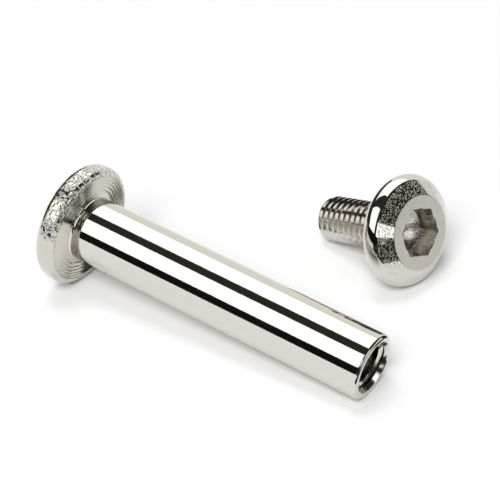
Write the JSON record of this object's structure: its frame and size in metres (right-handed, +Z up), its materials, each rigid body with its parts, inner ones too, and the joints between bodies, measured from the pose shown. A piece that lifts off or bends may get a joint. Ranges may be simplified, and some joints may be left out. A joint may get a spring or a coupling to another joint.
{
  "type": "luggage wheel rivet",
  "caption": "Flanged barrel with a threaded open end and the hex socket screw that closes it, a rivet that a suitcase wheel turns on, shown with the screw taken out.",
  "frame": {"origin": "on the floor, under the middle of the box around the two lying pieces", "axes": "+X along the barrel towards its open end, +Y from the barrel to the screw, +Z up"},
  "size_m": [0.038, 0.0318, 0.0133],
  "materials": {
    "barrel_plating": "bright nickel plating on turned steel, mirror smooth on the barrel and rough on the rim of the flange",
    "screw_plating": "bright nickel plating on cold-headed steel, satin on the flat face and mirror smooth on the rim"
  },
  "bodies": {
    "root": {"barrel": "barrel_plating", "screw": "screw_plating"}
  },
  "joints": []
}
